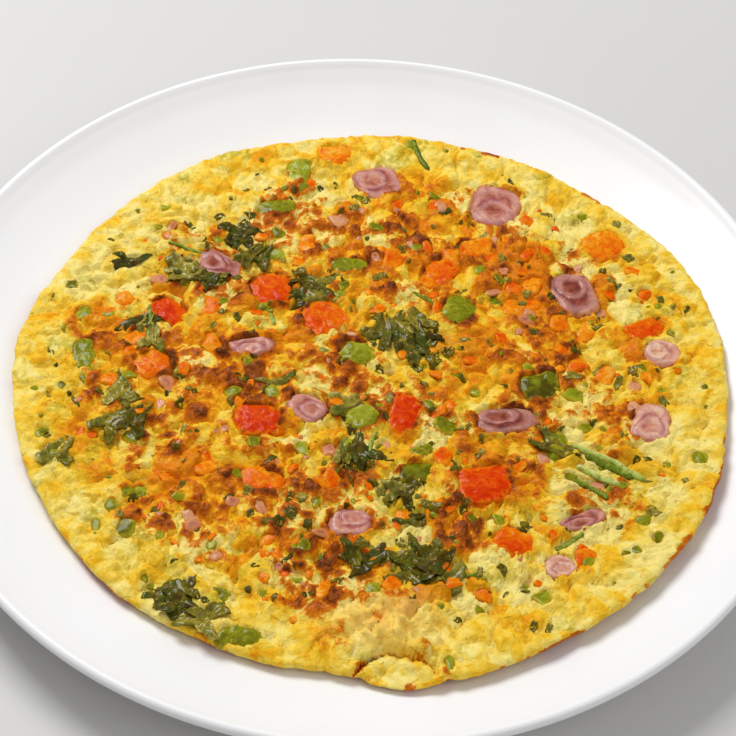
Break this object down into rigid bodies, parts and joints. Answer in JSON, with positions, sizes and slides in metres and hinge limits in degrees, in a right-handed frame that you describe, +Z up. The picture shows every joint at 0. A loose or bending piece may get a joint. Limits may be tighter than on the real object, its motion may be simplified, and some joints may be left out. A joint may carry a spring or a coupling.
{
  "type": "open vegetable omelette on a dinner plate",
  "caption": "Round open omelette with onion, tomato and green pepper set in its browned top, lying on a plain round dinner plate.",
  "frame": {"origin": "on the table under the centre of the plate, at the bottom of its foot ring", "axes": "+Z up out of the plate, -Y towards the diner, +X to the diner's right"},
  "size_m": [0.27, 0.27, 0.02],
  "materials": {
    "porcelain": "glossy white glaze",
    "egg": "soft fried egg, browned in patches",
    "tomato": "wet cooked tomato",
    "onion": "translucent cooked red onion",
    "pepper": "cooked green pepper"
  },
  "bodies": {
    "root": {"plate": "porcelain", "omelette": "egg", "tomato_01": "tomato", "tomato_02": "tomato", "tomato_03": "tomato", "tomato_04": "tomato", "tomato_05": "tomato", "tomato_06": "tomato", "tomato_07": "tomato", "tomato_08": "tomato", "tomato_09": "tomato", "tomato_10": "tomato", "tomato_11": "tomato", "tomato_12": "tomato", "tomato_13": "tomato", "tomato_14": "tomato", "onion_01": "onion", "onion_02": "onion", "onion_03": "onion", "onion_04": "onion", "onion_05": "onion", "onion_06": "onion", "onion_07": "onion", "onion_08": "onion", "onion_09": "onion", "onion_10": "onion", "onion_11": "onion", "onion_12": "onion", "pepper_01": "pepper", "pepper_02": "pepper", "pepper_03": "pepper", "pepper_04": "pepper", "pepper_05": "pepper", "pepper_06": "pepper", "pepper_07": "pepper", "pepper_08": "pepper", "pepper_09": "pepper", "pepper_10": "pepper"}
  },
  "joints": []
}
